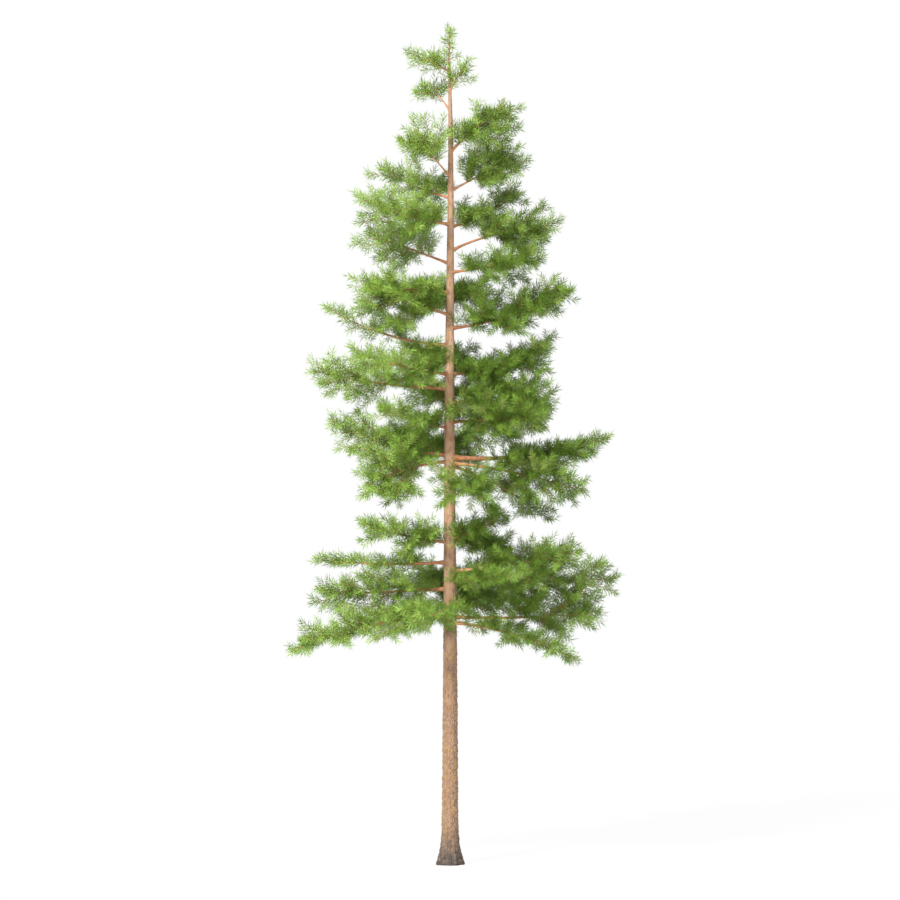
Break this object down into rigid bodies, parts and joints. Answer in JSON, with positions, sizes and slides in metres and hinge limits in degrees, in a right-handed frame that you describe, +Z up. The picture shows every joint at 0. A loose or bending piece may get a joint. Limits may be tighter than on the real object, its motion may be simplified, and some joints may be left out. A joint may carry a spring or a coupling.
{
  "type": "pine tree",
  "caption": "Whole pine with a tall bare straight trunk, level boughs in whorls and an airy irregular crown, cut flat at ground level.",
  "frame": {"origin": "middle of the trunk's flat cut at ground level", "axes": "+Z up the trunk; the front of the pictured view looks along +Y, with +X to its right"},
  "size_m": [4.791, 3.9586, 12.0284],
  "materials": {
    "bark": "flaky orange-tan bark, grey-brown at the foot",
    "bough_bark": "thin reddish-brown bark",
    "needles": "needles in mixed mid greens, soft satin"
  },
  "bodies": {
    "root": {"trunk": "bark", "bough_01_right": "bough_bark", "bough_03_left": "bough_bark", "bough_05_right": "bough_bark", "bough_05_right_low": "bough_bark", "bough_05_left_low": "bough_bark", "bough_08_left": "bough_bark", "bough_10_left": "bough_bark", "bough_11_right": "bough_bark", "bough_13_left": "bough_bark", "bough_13_right": "bough_bark", "bough_15_right": "bough_bark", "bough_15_left": "bough_bark", "foliage_01_left": "needles", "foliage_01_right": "needles", "foliage_01_droop": "needles", "foliage_01_back": "needles", "foliage_01_front": "needles", "foliage_02_right": "needles", "foliage_02_right_up": "needles", "foliage_02_left": "needles", "foliage_02_back": "needles", "foliage_02_front": "needles", "foliage_03_left": "needles", "foliage_04_left": "needles", "foliage_04_right": "needles", "foliage_04_back": "needles", "foliage_05_right": "needles", "foliage_05_right_low": "needles", "foliage_05_hanging": "needles", "foliage_05_left": "needles", "foliage_05_left_low": "needles", "foliage_05_front": "needles", "foliage_05_back": "needles", "foliage_06_left": "needles", "foliage_06_right": "needles", "foliage_07_right": "needles", "foliage_07_back": "needles", "foliage_08_left": "needles", "foliage_09_right": "needles", "foliage_09_left": "needles", "foliage_10_left": "needles", "foliage_10_back": "needles", "foliage_11_right": "needles", "foliage_12_left": "needles", "foliage_12_left_up": "needles", "foliage_12_back": "needles", "foliage_13_left": "needles", "foliage_13_right": "needles", "foliage_13_front": "needles", "foliage_14_left": "needles", "foliage_14_back": "needles", "foliage_15_right": "needles", "foliage_15_left": "needles", "foliage_15_back": "needles", "foliage_16_right": "needles", "foliage_17_left": "needles", "foliage_18_right": "needles", "foliage_19_left": "needles", "foliage_leader": "needles"}
  },
  "joints": []
}
